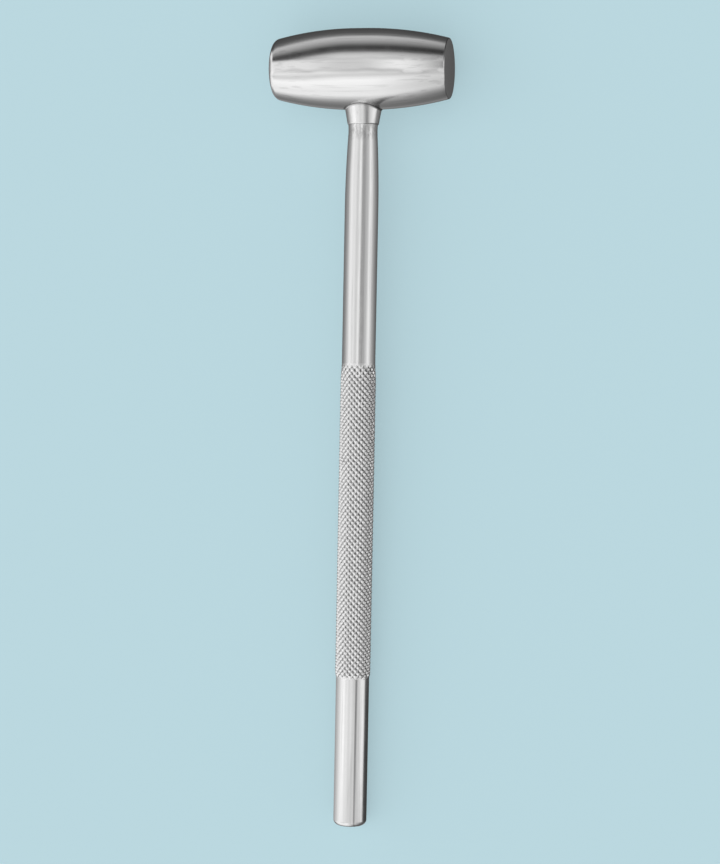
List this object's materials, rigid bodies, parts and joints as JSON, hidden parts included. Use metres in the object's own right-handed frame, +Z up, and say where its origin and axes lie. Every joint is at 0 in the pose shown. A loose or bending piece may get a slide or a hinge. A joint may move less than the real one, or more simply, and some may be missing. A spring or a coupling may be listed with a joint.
{
  "type": "surgical mallet",
  "caption": "All-steel surgical mallet with a barrel-shaped head, a short tapered collar and a round handle with a diamond-knurled grip.",
  "frame": {"origin": "bottom centre of the part's box, on the surface that the mallet lies on", "axes": "+X along the head towards its crisp-edged striking face, +Y along the handle towards the head, +Z up from the surface"},
  "size_m": [0.0532, 0.2386, 0.024],
  "materials": {
    "head_steel": "satin polished stainless steel with fine lines along the head",
    "handle_steel": "brushed stainless steel, matte in the knurl",
    "weld_steel": "ground weld, lightly mottled"
  },
  "bodies": {
    "root": {"head": "head_steel", "ferrule": "handle_steel", "weld_fillet": "weld_steel", "handle": "handle_steel"}
  },
  "joints": []
}
